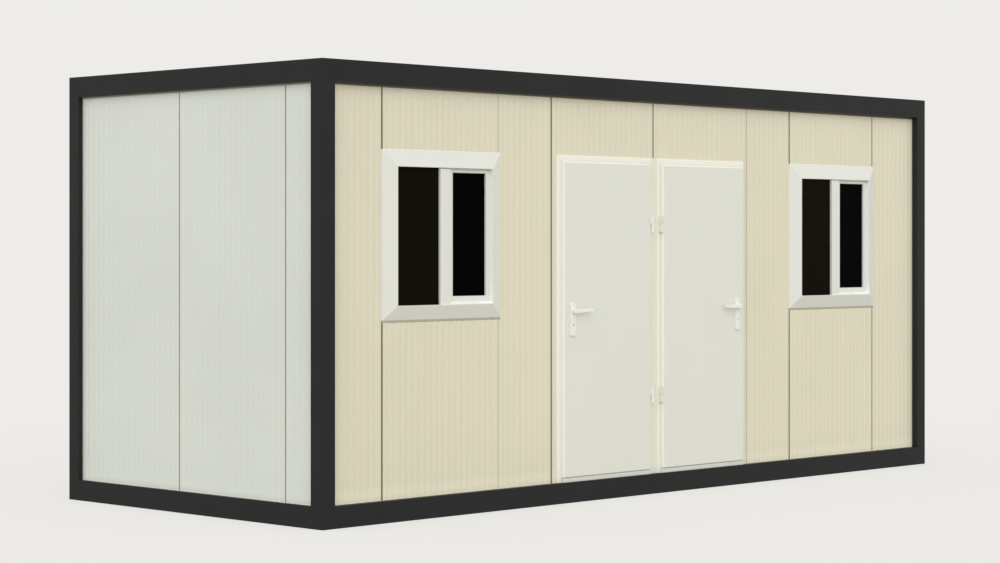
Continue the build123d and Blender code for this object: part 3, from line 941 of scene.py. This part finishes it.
@dataclass
class Walls:
    """The panel walls: every panel keeps its CAD body and gets a ribbed skin on its outer face."""

    pitch: float = 0.990
    joint: float = 0.004
    lap: float = 0.002
    skin: RibbedSkin = field(default_factory=RibbedSkin)
    seals: WallSeals = field(default_factory=WallSeals)
    front_skin: RibbedSkin = field(default_factory=lambda: RibbedSkin(depth=0.0024))
    # The front wall's head bead is darker still, as painted shade.
    front_seals: WallSeals = field(default_factory=lambda: WallSeals(FRONT_HEAD_PAINTED_SHADE, 0.014, proud=0.0034))
    front_panels: tuple[FrontPanel, ...] = (
        FrontPanel("front_edge_panel_left"),
        FrontPanel("front_window_panel_left", joint=0.008, lap=0.005),
        FrontPanel("front_half_panel_left", joint=0.001),
        FrontPanel("front_door_head_left", joint=0.004, lap=0.008),
        FrontPanel("front_door_head_right", joint=0.004, lap=0.005),
        FrontPanel("front_half_panel_right", joint=0.0025),
        FrontPanel("front_window_panel_right", joint=0.004, lap=0.008),
        FrontPanel("front_edge_panel_right", joint=0.004, lap=0.0018),
    )

    def build(self) -> None:
        """Make the skins and seals of all four walls."""
        self.build_front()
        self.build_run("back_wall", Side.BACK, self.back_lines(), CREAM_SHEET)
        self.build_run("left_end_wall", Side.LEFT, self.end_lines("left_end_wall"), PALE_SHEET)
        mirrored = [-line for line in reversed(self.end_lines("right_end_wall"))]
        self.build_run("right_end_wall", Side.RIGHT, mirrored, PALE_SHEET)

    def build_front(self) -> None:
        """Make the front wall's skins, one for each of its panels, and its seals."""
        far_left, far_right = (corner.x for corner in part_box("back_wall"))
        starts = {panel.node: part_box(panel.node)[0].x for panel in self.front_panels[1:]}
        lines = [far_left, *starts.values(), far_right]
        joints = [panel.joint for panel in self.front_panels] + [0]
        for index, panel in enumerate(self.front_panels):
            dress(panel.node, CREAM_SHEET)
            low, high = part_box(panel.node)
            start, end = lines[index], lines[index + 1]
            anchor = start if index else end - self.pitch
            start_gap, end_gap = joints[index] / 2, joints[index + 1] / 2
            mesh = self.front_skin.sheet(start + start_gap, end - end_gap, anchor, low.z, high.z)
            if panel.node.startswith("front_window_panel"):
                hole_low, hole_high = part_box(panel.node.replace("front_window_panel", "window_frame"))
                self.front_skin.pierce(mesh, Hole(hole_low.x, hole_high.x, hole_low.z, hole_high.z))
            self.front_skin.finish(mesh, Side.FRONT.placement(low))
            place_mesh(f"{panel.node}_skin", mesh, CREAM_SHEET, "cabin")
        self.build_strips(starts)
        self.seal_front(starts, (far_left, far_right))

    def build_strips(self, starts: dict[str, float]) -> None:
        """Make the skins of the narrow strips beside and between the doors, in one piece.

        Args:
            starts: where each front panel but the first begins.
        """
        dress("front_door_strips", CREAM_SHEET)
        low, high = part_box("front_door_strips")
        left_low, left_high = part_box("door_frame_left")
        right_low, right_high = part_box("door_frame_right")
        gaps = {panel.node: panel.joint / 2 for panel in self.front_panels}
        first, second, last = "front_door_head_left", "front_door_head_right", "front_half_panel_right"
        spans = [
            (starts[first] + gaps[first], left_low.x, starts[first]),
            (left_high.x, starts[second] - gaps[second], starts[second] - self.pitch),
            (starts[second] + gaps[second], right_low.x, starts[second]),
            (right_high.x, starts[last] - gaps[last], starts[last] - self.pitch),
        ]
        strips = bmesh.new()
        for start, end, anchor in spans:
            mesh = self.front_skin.sheet(start, end, anchor, low.z, high.z)
            self.front_skin.finish(mesh, Side.FRONT.placement(low))
            add_mesh(strips, mesh)
        place_mesh("front_door_strips_skin", strips, CREAM_SHEET, "cabin")

    def seal_front(self, starts: dict[str, float], span: tuple[float, float]) -> None:
        """Close the front wall's joints, leaving out what the window trims and door frames cover.

        Args:
            starts: where each front panel but the first begins.
            span: where the wall begins and ends.
        """
        low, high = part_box("front_edge_panel_left")
        trim_low, trim_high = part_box("window_trim_left")
        left_low, left_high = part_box("door_frame_left")
        right_low, right_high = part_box("door_frame_right")
        round_trim = [(low.z, trim_low.z), (trim_high.z, high.z)]
        runs = {
            "front_window_panel_left": round_trim,
            "front_window_panel_right": round_trim,
            "front_door_head_right": [(left_high.z, high.z)],
        }
        joints = [
            Joint(starts[panel.node], panel.joint, panel.lap, bottom, top)
            for panel in self.front_panels[1:]
            for bottom, top in runs.get(panel.node, [(low.z, high.z)])
        ]
        feet = [(span[0], left_low.x), (left_high.x, right_low.x), (right_high.x, span[1])]
        placement = Side.FRONT.placement(low)
        self.add_seals("front_wall", self.front_seals, placement, joints, feet, span)

    def add_seals(
        self,
        name: str,
        seals: WallSeals,
        placement: Matrix,
        joints: list[Joint],
        feet: list[tuple[float, float]],
        span: tuple[float, float],
    ) -> None:
        """Make one wall's strips and put them on it.

        Args:
            name: what the wall's pieces are called.
            seals: the sizes and finishes of its strips.
            placement: the matrix from wall coordinates to the cabin's.
            joints: the wall's upright joints, the last of them reaching up to the top beam.
            feet: the start and end of each run of sealant.
            span: the start and end of the bead under the top beam.
        """
        dark, bead, pale = bmesh.new(), bmesh.new(), bmesh.new()
        for joint in joints:
            add_mesh(dark, seals.joint(joint))
        add_mesh(bead, seals.head(*span, joints[-1].high))
        for start, end in feet:
            add_mesh(pale, seals.sealant(start, end, joints[-1].low))
        for mesh, part, finish in (
            (dark, "seals", SEAL_RUBBER),
            # The head bead carries painted shade.
            (bead, "head_bead_painted_shade", seals.painted_head_shade),
            (pale, "sealant", WALL_SEALANT),
        ):
            bmesh.ops.transform(mesh, matrix=placement, verts=mesh.verts[:])
            place_mesh(f"{name}_{part}", mesh, finish, "cabin")

    def build_run(self, node: str, side: Side, lines: list[float], finish: Finish) -> None:
        """Make the skins of a whole wall of panels, in one piece, and its seals.

        Args:
            node: the wall's CAD node.
            side: the side of the cabin that it closes.
            lines: where its panels begin and end, in wall coordinates.
            finish: the sheet that it is made of.
        """
        dress(node, finish)
        low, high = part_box(node)
        face = high if side in (Side.BACK, Side.RIGHT) else low
        run = bmesh.new()
        for index, (start, end) in enumerate(zip(lines, lines[1:])):
            start_gap = self.joint / 2 if index else 0
            end_gap = self.joint / 2 if index < len(lines) - 2 else 0
            anchor = end - self.pitch if end - start < self.pitch and not index else start
            mesh = self.skin.sheet(start + start_gap, end - end_gap, anchor, low.z, high.z)
            self.skin.finish(mesh, side.placement(face))
            add_mesh(run, mesh)
        place_mesh(f"{node}_skin", run, finish, "cabin")
        joints = [Joint(line, self.joint, self.lap, low.z, high.z) for line in lines[1:-1]]
        span = (lines[0], lines[-1])
        self.add_seals(node, self.seals, side.placement(face), joints, [span], span)

    def back_lines(self) -> list[float]:
        """Work out the back wall's panel lines: whole panels about the middle and a cut one at each end.

        Returns:
            Where its panels begin and end, in the cabin's coordinates.
        """
        low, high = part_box("back_wall")
        count = int((high.x - low.x) // self.pitch)
        whole = [(index - count / 2) * self.pitch for index in range(count + 1)]
        return [low.x, *whole, high.x]

    def end_lines(self, node: str) -> list[float]:
        """Work out an end wall's panel lines: whole panels from the back and a cut one at the front.

        Args:
            node: the end wall's CAD node.

        Returns:
            Where its panels begin and end, in the left wall's coordinates.
        """
        low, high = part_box(node)
        count = int((high.y - low.y) // self.pitch)
        return [index * self.pitch - high.y for index in range(count + 1)] + [-low.y]


# ---------------------------------------------------------------- doors and windows


@dataclass
class EdgeSheath:
    """A thin edging folded round the front edge of a door's frame or leaf, whiter than the door's paint as a
    painted highlight on the edges that face the light.
    """

    radius: float
    lip: float
    proud: float = 0.0004
    wall: float = 0.0006
    segments: int = 6

    def mesh(self, low: Vector, high: Vector, open_foot: bool = False) -> Mesh:
        """Fold the edging round a slab's left edge, head and, unless it is open, its foot, where its whiter
        colour is a painted highlight.

        Args:
            low, high: the slab's corners; its front is at the lower Y.
            open_foot: whether the edging stops at the slab's foot instead of closing under it.

        Returns:
            The edging, with its wall thickness.
        """
        start = low - Vector((self.proud,) * 3)
        end = high + Vector((self.proud, 0, self.proud))
        if open_foot:
            start.z = low.z - self.radius - self.lip
        mesh = block(start, end)
        rim = [edge for edge in mesh.edges if all(vert.co.y < start.y + WELD for vert in edge.verts)]
        round_off(mesh, rim, self.radius, self.segments)
        front, back = min(mesh.faces, key=depth_of), max(mesh.faces, key=depth_of)
        bmesh.ops.inset_region(mesh, faces=[front], thickness=self.lip, use_even_offset=True)
        bmesh.ops.delete(mesh, geom=[front, back], context="FACES")
        # Drop the right-hand side, which faces away from the light, so that the painted highlight stays on
        # the lit edges.
        cut(mesh, high - Vector((self.radius, 0, 0)), (1, 0, 0))
        if open_foot:
            cut(mesh, low, (0, 0, -1))
        face_outwards(mesh, min(mesh.faces, key=depth_of))
        bmesh.ops.solidify(mesh, geom=mesh.faces[:], thickness=self.wall)
        return mesh


@dataclass
class Lever:
    """The two grips of one door lever on their spindle, with a round neck behind each."""

    side: str
    blade: float = 0.014
    blade_edge: float = 0.0045
    edge_segments: int = 3
    blade_drop: float = 0.005
    blade_tip: float = 0.021
    spindle: float = 0.0078
    neck: float = 0.0155
    neck_start: float = 0.007
    rose: float = 0.0190
    rose_height: float = 0.0025
    rose_gap: float = 0.0002

    def build(self) -> None:
        """Make the lever in place of the plain one."""
        low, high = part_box(f"door_lever_{self.side}")
        plate_low, plate_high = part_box(f"door_handle_plates_{self.side}")
        centre = Vector(((plate_low.x + plate_high.x) / 2, low.y, (low.z + high.z) / 2))
        outwards = -1 if high.x - centre.x < centre.x - low.x else 1
        mesh = self.grip(low, Vector((high.x, low.y + self.blade, high.z - self.blade_drop)), outwards)
        plate, half = plate_low.y - low.y, (high.y - low.y) / 2
        outline = [
            (0, self.neck_start),
            (self.neck, self.neck_start),
            (self.neck, plate - 2 * self.rose_height),
            (self.rose, plate - self.rose_height),
            (self.rose, plate - self.rose_gap),
            (self.spindle, plate - self.rose_gap),
            (self.spindle, half),
            (0, half),
        ]
        add_mesh(mesh, turned(outline, centre))
        inner = mesh.copy()
        middle = Vector((0, (low.y + high.y) / 2, 0))
        bmesh.ops.translate(inner, vec=-middle, verts=inner.verts[:])
        bmesh.ops.scale(inner, vec=(1, -1, 1), verts=inner.verts[:])
        bmesh.ops.translate(inner, vec=middle, verts=inner.verts[:])
        bmesh.ops.reverse_faces(inner, faces=inner.faces[:])
        add_mesh(mesh, inner)
        body = f"lever_{self.side}"
        piece = place_mesh(f"door_lever_{self.side}_grips", mesh, HANDLE_COAT, body)
        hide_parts(f"door_lever_{self.side}")

    def grip(self, low: Vector, high: Vector, outwards: int) -> Mesh:
        """Make one grip: flat on top, tapered from below towards its tip, and well rounded.

        Args:
            low, high: the grip's corners.
            outwards: 1 where the tip is at the higher X, or -1.

        Returns:
            The grip.
        """
        mesh = block(low, high)
        middle = (low + high) / 2
        for vert in mesh.verts:
            if (vert.co.x - middle.x) * outwards > 0 and vert.co.z < middle.z:
                vert.co.z = high.z - self.blade_tip
        round_off(mesh, mesh.edges[:], self.blade_edge, self.edge_segments)
        bmesh.ops.recalc_face_normals(mesh, faces=mesh.faces[:])
        return mesh


@dataclass
class Door:
    """One door: its frame, leaf, hinges and handle, with its edgings whitened as painted highlights, its seal
    and threshold.
    """

    side: str
    frame_edge: float = 0.014
    frame_lip: float = 0.018
    leaf_edge: float = 0.010
    leaf_lip: float = 0.0005
    leaf_side: float = 0.034
    leaf_head: float = 0.040
    leaf_foot: float = 0.030
    leaf_proud: float = 0.021
    seal_gap: float = 0.0004
    threshold_reach: float = 0.012
    threshold_gap: float = 0.002
    nosing: float = 0.005
    nosing_corner: float = 0.0015
    keyhole_height: float = 1.130
    keyhole_radius: float = 0.005
    core_gap: float = 0.0003
    core_depth: float = 0.0025
    core_length: float = 0.0012
    core_segments: int = 20
    hinge_heights: tuple[float, float] = (0.651, 1.778)
    hinge_length: float = 0.105
    hinge_offset: float = 0.012
    knuckle: float = 0.0078
    wing_root: float = 0.0005
    wing_rise: float = 0.0100
    wing_back: float = 0.0020
    packer: float = 0.0068
    packer_depth: float = 0.0183

    def build(self) -> None:
        """Dress the door's pieces and add its finer ones."""
        for part, finish in (
            ("frame", DOOR_PAINT),
            ("leaf", DOOR_PAINT),
            # The hinge pins' whiter colour is a painted highlight.
            ("hinge_pins", HINGE_PAINTED_HIGHLIGHT),
            ("handle_plates", HANDLE_COAT),
            ("lever", HANDLE_COAT),
        ):
            dress(f"door_{part}_{self.side}", finish)
        low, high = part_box(f"door_frame_{self.side}")
        wall_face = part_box("front_door_strips")[0].y
        leaf_low = Vector((low.x + self.leaf_side, low.y - self.leaf_proud, low.z + self.leaf_foot))
        leaf_high = Vector((high.x - self.leaf_side, low.y - self.seal_gap, high.z - self.leaf_head))
        # The edgings are painted highlights along the lit left edges and heads of the frame and leaf.
        edging = EdgeSheath(self.frame_edge, self.frame_lip)
        frame_edge_painted_highlight = edging.mesh(low, Vector((high.x, wall_face, high.z)), open_foot=True)
        place_mesh(f"door_frame_edging_{self.side}", frame_edge_painted_highlight, FRAME_EDGE_PAINTED_HIGHLIGHT, "cabin")
        leaf_edge_painted_highlight = EdgeSheath(self.leaf_edge, self.leaf_lip).mesh(leaf_low, leaf_high)
        self.add_wings(leaf_edge_painted_highlight, leaf_low, leaf_high)
        body = f"door_{self.side}"
        place_mesh(f"door_leaf_edging_{self.side}", leaf_edge_painted_highlight, LEAF_EDGE_PAINTED_HIGHLIGHT, body)
        self.build_threshold(low, leaf_low, leaf_high)
        self.build_lock()
        Lever(self.side).build()

    def add_wings(self, mesh: Mesh, leaf_low: Vector, leaf_high: Vector) -> None:
        """Fair the leaf's hinged edge into its knuckles with wings, and pack the slots behind the knuckles.

        Args:
            mesh: the leaf's edging, which takes the wings.
            leaf_low, leaf_high: the leaf's corners.
        """
        if self.side == "left":
            edge, outwards = leaf_high.x, 1
        else:
            edge, outwards = leaf_low.x, -1
        inner = edge - outwards * self.wing_root
        outer = edge + outwards * (self.hinge_offset - self.knuckle)
        packed = edge + outwards * (self.hinge_offset + self.packer)
        face, back = leaf_low.y, leaf_low.y + self.wing_back
        packer_back = face + self.packer_depth
        for height in self.hinge_heights:
            foot = height - self.hinge_length / 2
            wing = [
                (inner, face - self.wing_root, foot),
                (outer, face - self.wing_rise, foot),
                (outer, back, foot),
                (inner, back, foot),
            ]
            add_mesh(mesh, extruded(wing, (0, 0, self.hinge_length)))
            packer = [
                (inner, face + self.wing_root, height + self.wing_back),
                (packed, face + self.wing_root, height + self.wing_back),
                (packed, packer_back, height + self.wing_back),
                (inner, packer_back, height + self.wing_back),
            ]
            add_mesh(mesh, extruded(packer, (0, 0, self.hinge_length / 2 - self.wing_back)))

    def build_threshold(self, frame_low: Vector, leaf_low: Vector, leaf_high: Vector) -> None:
        """Lay the nosing that fills the step under the leaf, with its upper front edge rounded.

        Args:
            frame_low: the frame's lower corner.
            leaf_low, leaf_high: the leaf's corners.
        """
        top = leaf_low.z - self.threshold_gap
        front = frame_low.y - self.threshold_reach
        outline = [
            (leaf_low.x, frame_low.y, frame_low.z),
            (leaf_low.x, front, frame_low.z),
            (leaf_low.x, front, top - self.nosing),
            (leaf_low.x, front + self.nosing_corner, top - self.nosing_corner),
            (leaf_low.x, front + self.nosing, top),
            (leaf_low.x, frame_low.y, top),
        ]
        mesh = extruded(outline, (leaf_high.x - leaf_low.x, 0, 0))
        place_mesh(f"door_threshold_{self.side}", mesh, DOOR_PAINT, "cabin")

    def build_lock(self) -> None:
        """Set a dark lock core behind the keyhole of each handle plate."""
        low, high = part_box(f"door_handle_plates_{self.side}")
        core = self.keyhole_radius - self.core_gap
        outline = [(0, 0), (core, 0), (core, self.core_length), (0, self.core_length)]
        mesh = bmesh.new()
        for start in (low.y + self.core_depth, high.y - self.core_depth - self.core_length):
            centre = Vector(((low.x + high.x) / 2, start, self.keyhole_height))
            add_mesh(mesh, turned(outline, centre, self.core_segments))
        place_mesh(f"door_lock_cores_{self.side}", mesh, LOCK_METAL, f"door_{self.side}")


@dataclass
class CoverStrip:
    """The shallow strip that covers the wall between the two door frames, tight against the right one, paler
    than the wall as painted light thrown from the white frames on either side.
    """

    rise: float = 0.012
    shoulder: float = 0.008
    shoulder_drop: float = 0.004

    def build(self) -> None:
        """Make the strip from frame to frame, with a sloping shoulder on the left."""
        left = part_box("door_frame_left")[1]
        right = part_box("door_frame_right")[0]
        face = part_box("front_door_strips")[0].y
        top = face - self.rise
        outline = [
            (left.x, face, right.z),
            (left.x, top + self.shoulder_drop, right.z),
            (left.x + self.shoulder, top, right.z),
            (right.x, top, right.z),
            (right.x, face, right.z),
        ]
        mesh = extruded(outline, (0, 0, left.z - right.z))
        # Its paler colour is painted light from the white frames beside it.
        place_mesh("door_cover_strip", mesh, COVER_STRIP_PAINTED_LIGHT, "cabin")


@dataclass
class Window:
    """One window: its trim, frame, sash and glass, with its flange, its bead darkened as painted shadow, and
    its drip and bright inner faces whitened as painted highlights.
    """

    side: str
    flange: float = 0.005
    flange_rise: float = 0.0038
    flange_corner: float = 0.0015
    cut_back: float = 0.6
    bead: float = 0.015
    bead_rise: float = 0.0038
    bead_cut: float = 0.8
    drip: float = 0.005
    drip_rise: float = 0.0025
    drip_lean: float = 0.001
    jamb_gap: float = 0.0085
    sash_gap: float = 0.0013
    lining: float = 0.0007
    lining_bead: tuple[float, float] = (0.002, 0.003)
    nosing: float = 0.0006
    sill_rise: float = 0.0015

    def build(self) -> None:
        """Dress the window's pieces and add its finer ones."""
        for part, finish in (
            ("window_trim", WINDOW_PLASTIC),
            ("window_frame", WINDOW_PLASTIC),
            ("window_sash", WINDOW_PLASTIC),
            ("window_glass", FIXED_GLASS),
            ("sash_glass", SASH_GLASS),
        ):
            dress(f"{part}_{self.side}", finish)
        self.build_surround()
        self.build_linings()

    def build_surround(self) -> None:
        """Lay the flange beside the trim, over the joint, the bead at its foot, darkened as the painted
        shadow under the trim, and the drip on its head, whitened as a painted highlight.
        """
        low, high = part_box(f"window_trim_{self.side}")
        left, wall = low.x - self.flange, high.y
        up, along = (0, 0, high.z - low.z), (high.x - left, 0, 0)
        flange = [
            (left, wall, low.z),
            (left, wall - self.cut_back * self.flange_rise, low.z),
            (left + self.flange_corner, wall - self.flange_rise, low.z),
            (low.x, wall - self.flange_rise, low.z),
            (low.x, wall, low.z),
        ]
        # The bead is darkened as the painted shadow under the trim.
        bead = [
            (left, wall, low.z),
            (left, wall, low.z - self.bead),
            (left, wall - self.cut_back * self.bead_rise, low.z - self.bead),
            (left, wall - self.bead_rise, low.z - self.bead_cut * self.bead),
            (left, wall - self.bead_rise, low.z),
        ]
        # The drip is whitened as a painted highlight along the trim's head.
        drip = [
            (left, wall, high.z),
            (left, wall, high.z + self.drip),
            (left, wall - self.drip_rise, high.z + self.cut_back * self.drip),
            (left, wall - self.drip_rise - self.drip_lean, high.z),
        ]
        for part, outline, direction, finish in (
            ("flange", flange, up, WINDOW_PLASTIC),
            ("bead", bead, along, WINDOW_BEAD_PAINTED_SHADOW),
            ("drip", drip, along, WINDOW_PAINTED_HIGHLIGHT),
        ):
            mesh = extruded(outline, direction)
            place_mesh(f"window_{part}_{self.side}", mesh, finish, "cabin")

    def build_linings(self) -> None:
        """Line the jamb that the sash closes on, and the sloping sill, in plastic whitened as painted light
        on the jamb and a painted highlight on the sill.
        """
        pane_low, pane_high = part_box(f"window_glass_{self.side}")
        frame_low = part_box(f"window_frame_{self.side}")[0]
        sash_low, sash_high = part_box(f"window_sash_{self.side}")
        jamb = sash_high.x + self.jamb_gap
        bead_low, bead_high = (frame_low.y + depth for depth in self.lining_bead)
        outline = [
            (jamb, frame_low.y, pane_low.z),
            (jamb - 2 * self.lining, frame_low.y, pane_low.z),
            (jamb - 2 * self.lining, bead_low, pane_low.z),
            (jamb - self.lining, bead_high, pane_low.z),
            (jamb - self.lining, sash_low.y + self.sash_gap, pane_low.z),
            (jamb, sash_low.y + self.sash_gap, pane_low.z),
        ]
        lining = extruded(outline, (0, 0, pane_high.z - pane_low.z))
        slope_foot = pane_low.z + self.sill_rise
        outline = [
            (pane_high.x, frame_low.y - self.nosing, pane_low.z + self.nosing),
            (pane_high.x, frame_low.y - self.nosing, slope_foot + self.nosing),
            (pane_high.x, sash_low.y, sash_low.z + self.nosing),
            (pane_high.x, sash_low.y, sash_low.z - 2 * self.nosing),
        ]
        add_mesh(lining, extruded(outline, (jamb - self.lining - pane_high.x, 0, 0)))
        # The lining's whiter colour is painted light in the recess.
        place_mesh(f"window_lining_{self.side}", lining, WINDOW_PAINTED_HIGHLIGHT, "cabin")


# ---------------------------------------------------------------- studio


@dataclass
class Studio:
    """The plain pale floor, the soft light and the camera."""

    backdrop: Color = linear(238, 236, 232)
    sky_strength: float = 1.0
    floor_radius: float = 60.0
    floor_segments: int = 96
    floor_glow: Color = (0.52, 0.50, 0.46)
    sky: Color = (0.985, 1.0, 1.01)
    floor_seen: float = 0.77
    shadow_share: float = 0.25
    fade_start: float = 4.5
    fade_end: float = 9.0
    sun_direction: tuple[float, float, float] = (-0.213, -0.254, 0.108)
    sun_strength: float = 1.09
    sun_angle: float = 75.0
    eye: tuple[float, float, float] = (-12.502, -11.756, 1.655)
    heading: float = 45.06
    lens: float = 88.65
    shift: tuple[float, float] = (0.0494, -0.039)

    def build(self) -> None:
        """Build the world, the floor, the lamp and the camera."""
        self.build_world()
        self.build_floor()
        self.build_lamp()
        self.build_camera()

    def build_world(self) -> None:
        """Light the scene evenly, and show the backdrop's own colour where the air is seen or mirrored."""
        world = bpy.data.worlds.new("studio_air")
        bpy.context.scene.world = world
        tree = NodeTree(world)
        path = tree.add("LightPath")
        seen = tree.larger(path.outputs["Is Camera Ray"], path.outputs["Is Glossy Ray"])
        seen = tree.larger(seen, path.outputs["Is Transmission Ray"])
        light = tree.add("Background")
        light.inputs["Color"].default_value = (*self.sky, 1)
        light.inputs["Strength"].default_value = self.sky_strength
        shown = tree.add("Background")
        shown.inputs["Color"].default_value = scaled(self.backdrop, 1)
        tree.close("World", tree.blend(seen, light.outputs["Background"], shown.outputs["Background"]))

    def build_floor(self) -> None:
        """Lay a pale floor that keeps the cabin's shadow and fades into the backdrop further out."""
        mesh = bmesh.new()
        bmesh.ops.create_circle(mesh, cap_ends=True, segments=self.floor_segments, radius=self.floor_radius)
        data = bpy.data.meshes.new("floor")
        mesh.to_mesh(data)
        mesh.free()
        floor = bpy.data.objects.new("floor", data)
        bpy.context.scene.collection.objects.link(floor)
        data.materials.append(self.floor_material())

    def floor_material(self) -> bpy.types.Material:
        """Build the floor's paper, which is seen paler than the light that it throws back.

        Returns:
            A material that fades into the backdrop with the distance from the cabin.
        """
        made = bpy.data.materials.new("floor_paper")
        tree = NodeTree(made)
        path = tree.add("LightPath")
        thrown = tree.shine(self.floor_glow)
        shaded = tree.add("BsdfDiffuse")
        shaded.inputs["Color"].default_value = scaled(self.backdrop, self.floor_seen / self.backdrop[0])
        even = tree.shine(self.backdrop)
        paper = tree.blend(self.shadow_share, even, shaded.outputs["BSDF"])
        distance = tree.add("VectorMath", operation="LENGTH")
        tree.join(tree.stretched(), distance.inputs[0])
        fade = tree.spread(distance.outputs["Value"], (self.fade_start, self.fade_end), (0, 1), "SMOOTHSTEP")
        faded = tree.blend(fade, paper, even)
        tree.close("Material", tree.blend(path.outputs["Is Camera Ray"], thrown, faded))
        return made

    def build_lamp(self) -> None:
        """Hang a very wide soft lamp off the near corner, far enough to light the cabin evenly."""
        lamp = bpy.data.lights.new("wide_soft_lamp", "SUN")
        lamp.energy = self.sun_strength
        lamp.angle = math.radians(self.sun_angle)
        holder = bpy.data.objects.new("wide_soft_lamp", lamp)
        towards = Vector(self.sun_direction)
        holder.location = towards.normalized() * self.floor_radius
        holder.rotation_euler = (-towards).to_track_quat("-Z", "Y").to_euler()
        bpy.context.scene.collection.objects.link(holder)

    def build_camera(self) -> None:
        """Stand the camera at eye height off the near corner, level."""
        data = bpy.data.cameras.new("camera")
        data.lens = self.lens
        data.shift_x, data.shift_y = self.shift
        data.clip_end = 2 * self.floor_radius
        camera = bpy.data.objects.new("camera", data)
        camera.location = self.eye
        camera.rotation_euler = (math.radians(90), 0, math.radians(self.heading - 90))
        bpy.context.scene.collection.objects.link(camera)
        bpy.context.scene.camera = camera
        bpy.context.scene.view_settings.view_transform = "Standard"


# ---------------------------------------------------------------- the whole cabin


def main() -> None:
    """Build the cabin and the studio round it."""
    logging.basicConfig(level=logging.INFO, format="%(name)s: %(message)s")
    SteelFrame().build()
    FloorAndRoof().build()
    Walls().build()
    CoverStrip().build()
    for side in ("left", "right"):
        Door(side).build()
        Window(side).build()
    Studio().build()


if __name__ == "__main__":
    main()
